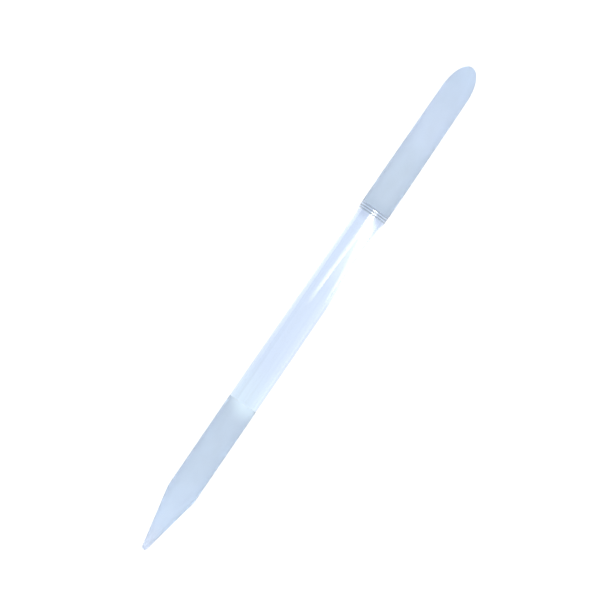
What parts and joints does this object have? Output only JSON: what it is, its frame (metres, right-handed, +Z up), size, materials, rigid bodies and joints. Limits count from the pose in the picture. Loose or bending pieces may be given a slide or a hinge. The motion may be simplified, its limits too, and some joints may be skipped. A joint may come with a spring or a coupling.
{
  "type": "cuticle pusher",
  "caption": "Round glass stick, clear in the middle, with a frosted slant-cut end for pushing cuticles and a frosted cone point for cleaning under nails.",
  "frame": {"origin": "on the plane the stick lies on, under the middle of its length and width", "axes": "+X along the stick towards the pusher end, +Z up, away from the side the slanting flat is cut on"},
  "size_m": [0.12, 0.0065, 0.0065],
  "materials": {
    "clear_glass": "clear, drawn and polished",
    "ringed_glass": "glossy, with fine rings round it",
    "frosted_glass": "frosted, fine and even"
  },
  "bodies": {
    "root": {"pusher_end": "frosted_glass", "ring_band": "ringed_glass", "clear_handle": "clear_glass", "pointed_end": "frosted_glass"}
  },
  "joints": []
}
